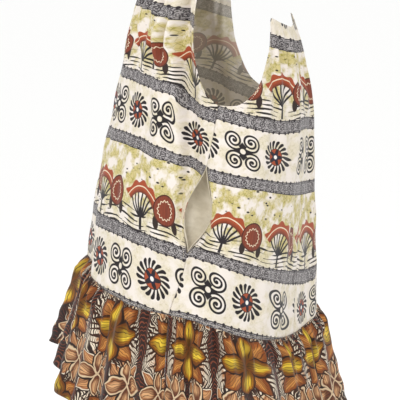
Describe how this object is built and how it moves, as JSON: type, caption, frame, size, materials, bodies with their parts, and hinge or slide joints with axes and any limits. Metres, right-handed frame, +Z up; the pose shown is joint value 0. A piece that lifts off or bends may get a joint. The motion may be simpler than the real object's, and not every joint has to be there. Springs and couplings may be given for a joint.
{
  "type": "ankara wax print dress",
  "caption": "Sleeveless halter dress in wax-print cotton, low gathered back, in-seam pockets and a gathered ruffle hem in a second print, in its worn form.",
  "frame": {"origin": "middle of the neckband, where the wearer's neck holds the dress up", "axes": "+Z up, -Y the way the wearer faces, +X the wearer's left"},
  "size_m": [0.7316, 0.6357, 1.1392],
  "materials": {
    "wax_print_cotton": "matt wax-printed cotton",
    "plain_cotton": "matt cotton",
    "pocket_cotton": "matt cotton",
    "ruffle_print_cotton": "matt wax-printed cotton"
  },
  "bodies": {
    "root": {"front": "wax_print_cotton", "back_left": "wax_print_cotton", "back_right": "wax_print_cotton", "neck_band": "plain_cotton", "pocket_left": "pocket_cotton", "pocket_right": "pocket_cotton", "ruffle_front": "ruffle_print_cotton", "ruffle_back": "ruffle_print_cotton"}
  },
  "joints": []
}
